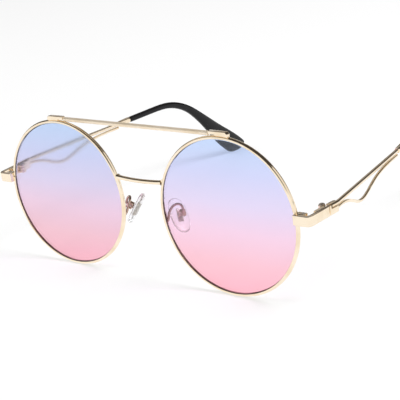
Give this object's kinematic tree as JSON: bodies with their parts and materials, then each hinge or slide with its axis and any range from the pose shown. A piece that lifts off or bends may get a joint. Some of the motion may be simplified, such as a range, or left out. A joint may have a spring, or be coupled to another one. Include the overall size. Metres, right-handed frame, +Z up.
{
  "type": "round sunglasses",
  "caption": "Round full-rim sunglasses with a straight brow bar, wire temples that dip in a wave, folding hinges and rocking nose pads.",
  "frame": {"origin": "on the table under the middle of the open glasses' outline", "axes": "+X towards the wearer's left, -Y out of the front of the lenses, +Y along the temples, +Z up"},
  "size_m": [0.1484, 0.1474, 0.0596],
  "materials": {
    "polished_gold": "polished pale gold plating on nickel silver",
    "screw_steel": "turned steel",
    "graduated_lens": "clear lens tinted blue-violet at the top, fading to pink at the bottom",
    "black_tip": "polished black",
    "clear_pad": "clear silicone",
    "pad_core_metal": "plain stamped metal"
  },
  "bodies": {
    "front": {"bridge_wire": "polished_gold", "brow_bar": "polished_gold", "brow_block_left": "polished_gold", "brow_block_right": "polished_gold", "closing_block_lower_left": "polished_gold", "closing_block_lower_right": "polished_gold", "closing_block_upper_left": "polished_gold", "closing_block_upper_right": "polished_gold", "end_piece_left": "polished_gold", "end_piece_right": "polished_gold", "front_hinge_left": "polished_gold", "front_hinge_right": "polished_gold", "hinge_screw_left": "screw_steel", "hinge_screw_right": "screw_steel", "lens_left": "graduated_lens", "lens_right": "graduated_lens", "pad_arm_left": "polished_gold", "pad_arm_right": "polished_gold", "pad_box_left": "polished_gold", "pad_box_right": "polished_gold", "pad_screw_left": "screw_steel", "pad_screw_right": "screw_steel", "rim_left": "polished_gold", "rim_right": "polished_gold", "rim_screw_left": "screw_steel", "rim_screw_right": "screw_steel"},
    "temple_left": {"temple_hinge_left": "polished_gold", "temple_plate_left": "polished_gold", "temple_bar_left": "polished_gold", "wave_wire_left": "polished_gold", "tip_collar_left": "polished_gold", "temple_tip_left": "black_tip"},
    "pad_left": {"nose_pad_left": "clear_pad", "pad_core_left": "pad_core_metal"},
    "temple_right": {"temple_hinge_right": "polished_gold", "temple_plate_right": "polished_gold", "temple_bar_right": "polished_gold", "wave_wire_right": "polished_gold", "tip_collar_right": "polished_gold", "temple_tip_right": "black_tip"},
    "pad_right": {"nose_pad_right": "clear_pad", "pad_core_right": "pad_core_metal"}
  },
  "joints": [
    {"name": "temple_left_fold", "type": "hinge", "parent": "front", "child": "temple_left", "pos_m": [0.07044, -0.06241, 0.03285], "axis": [0, -0.014, 0.9999], "range_deg": [0, 84]},
    {"name": "temple_right_fold", "type": "hinge", "parent": "front", "child": "temple_right", "pos_m": [-0.07044, -0.06241, 0.03285], "axis": [0, 0.014, -0.9999], "range_deg": [0, 80]},
    {"name": "pad_left_rock", "type": "hinge", "parent": "front", "child": "pad_left", "pos_m": [0.01223, -0.06444, 0.02473], "axis": [0.4649, 0.8763, -0.1263], "range_deg": [-8, 8]},
    {"name": "pad_right_rock", "type": "hinge", "parent": "front", "child": "pad_right", "pos_m": [-0.01223, -0.06444, 0.02473], "axis": [0.4649, -0.8763, 0.1263], "range_deg": [-8, 8]}
  ]
}
